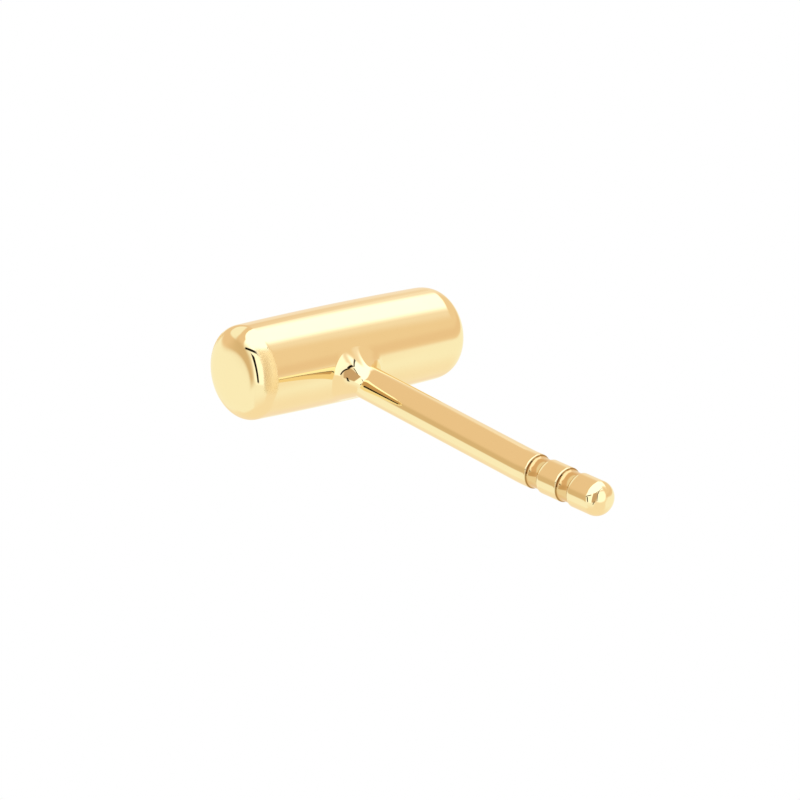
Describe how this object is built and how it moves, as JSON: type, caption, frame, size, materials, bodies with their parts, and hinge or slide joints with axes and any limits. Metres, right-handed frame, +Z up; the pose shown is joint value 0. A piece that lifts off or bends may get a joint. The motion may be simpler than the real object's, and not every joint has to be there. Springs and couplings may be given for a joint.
{
  "type": "bar stud earring",
  "caption": "Short polished round bar earring with a straight ear post soldered to its back, grooved near the tip for an ear nut.",
  "frame": {"origin": "centre of the stud's bounding box at the surface that it lies on", "axes": "+X along the bar, +Y away from the post's tip, which lies towards -Y, and +Z up from the surface that the bar and the tip of the post rest on"},
  "size_m": [0.0072, 0.0116, 0.0026],
  "materials": {
    "gold_plate": "polished pale yellow gold plating"
  },
  "bodies": {
    "root": {"bar_stud": "gold_plate"}
  },
  "joints": []
}
